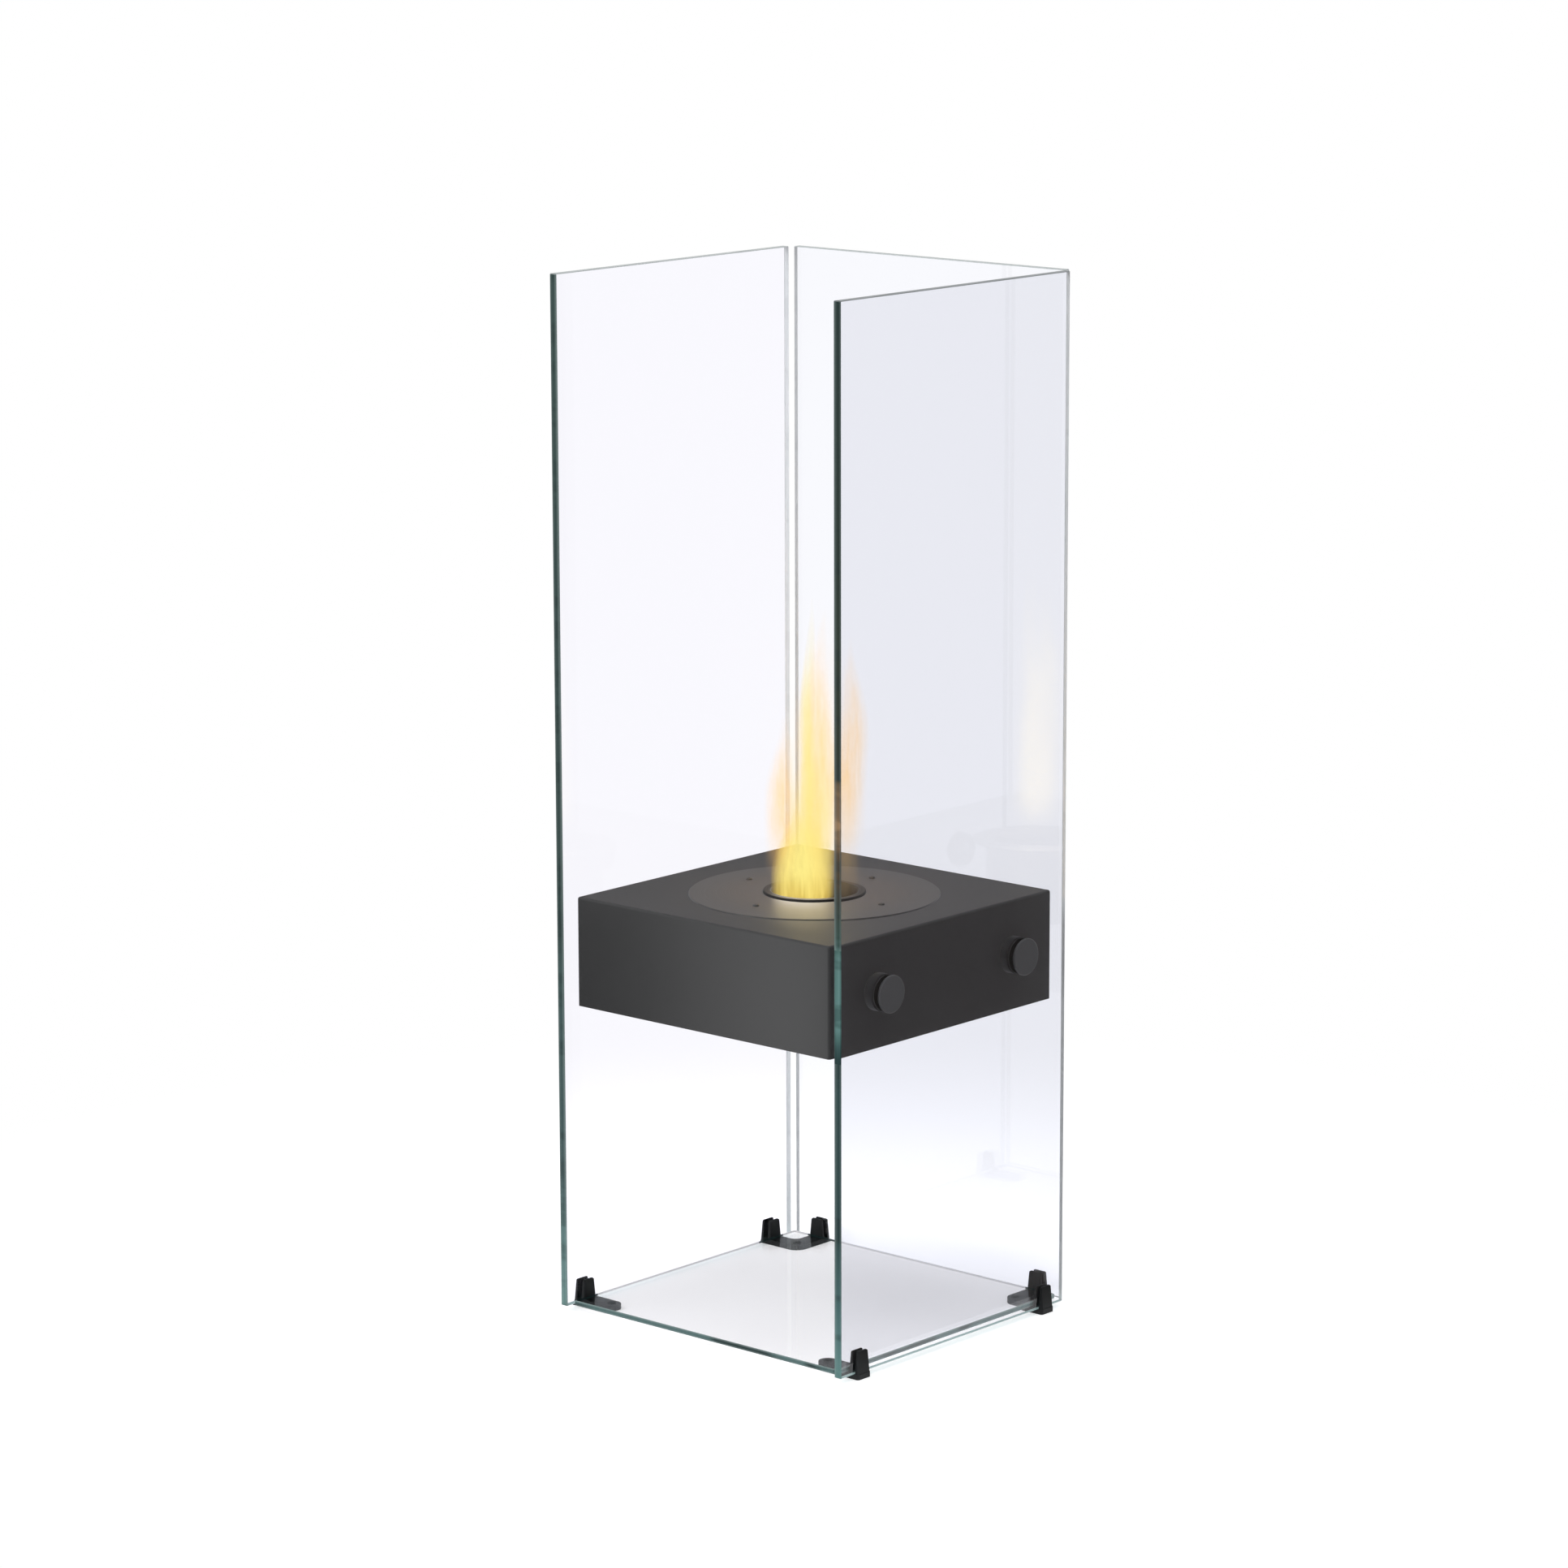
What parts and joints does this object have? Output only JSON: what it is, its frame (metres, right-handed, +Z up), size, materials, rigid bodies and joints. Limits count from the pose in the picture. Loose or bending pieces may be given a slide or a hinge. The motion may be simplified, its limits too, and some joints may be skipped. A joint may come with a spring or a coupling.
{
  "type": "outdoor heater",
  "caption": "Free-standing glass tower fire: clear upright panes open at the front, a black steel firebox hung between them on stand-offs, and a lift-out round fuel burner.",
  "frame": {"origin": "floor level at the centre of the part's footprint box", "axes": "+Z up, +X to the right seen from the open side, +Y from the open front side towards the rear pane"},
  "size_m": [0.441, 0.414, 1.206],
  "materials": {
    "clear_glass": "polished clear toughened glass with green edges",
    "black_rubber": "moulded, satin",
    "gasket_rubber": "matt",
    "black_coated_steel": "satin black powder coat",
    "burner_plate_steel": "satin dark grey heat-proof coat",
    "black_aluminium": "black anodised",
    "stainless_steel": "brushed, heat-tinted at the rim",
    "zinc_steel": "zinc plated",
    "dark_steel": "black oxide",
    "nylon": "natural nylon",
    "ceramic_wool": "matt fibre"
  },
  "bodies": {
    "tower": {"left_glass": "clear_glass", "rear_glass": "clear_glass", "right_glass": "clear_glass", "base_glass": "clear_glass", "front_left_foot": "black_rubber", "front_right_foot": "black_rubber", "rear_left_foot": "black_rubber", "rear_right_foot": "black_rubber", "base_pads": "black_rubber", "firebox_body": "black_coated_steel", "firebox_floor": "black_coated_steel", "burner_plate": "burner_plate_steel", "floor_screws": "zinc_steel", "floor_nuts": "zinc_steel", "plate_screws": "dark_steel", "plate_nuts": "zinc_steel", "burner_well": "stainless_steel", "left_spacers": "black_aluminium", "left_caps": "black_aluminium", "left_gaskets": "gasket_rubber", "left_bushes": "nylon", "left_nuts": "zinc_steel", "left_studs": "zinc_steel", "rear_spacers": "black_aluminium", "rear_caps": "black_aluminium", "rear_gaskets": "gasket_rubber", "rear_bushes": "nylon", "rear_nuts": "zinc_steel", "rear_studs": "zinc_steel", "right_spacers": "black_aluminium", "right_caps": "black_aluminium", "right_gaskets": "gasket_rubber", "right_bushes": "nylon", "right_nuts": "zinc_steel", "right_studs": "zinc_steel"},
    "burner": {"burner_cup": "stainless_steel", "ceramic_wool": "ceramic_wool", "flame_screen": "stainless_steel"}
  },
  "joints": [
    {"name": "burner_lift", "type": "slide", "parent": "tower", "child": "burner", "axis": [0, 0, 1], "range_m": [0, 0.12]}
  ]
}
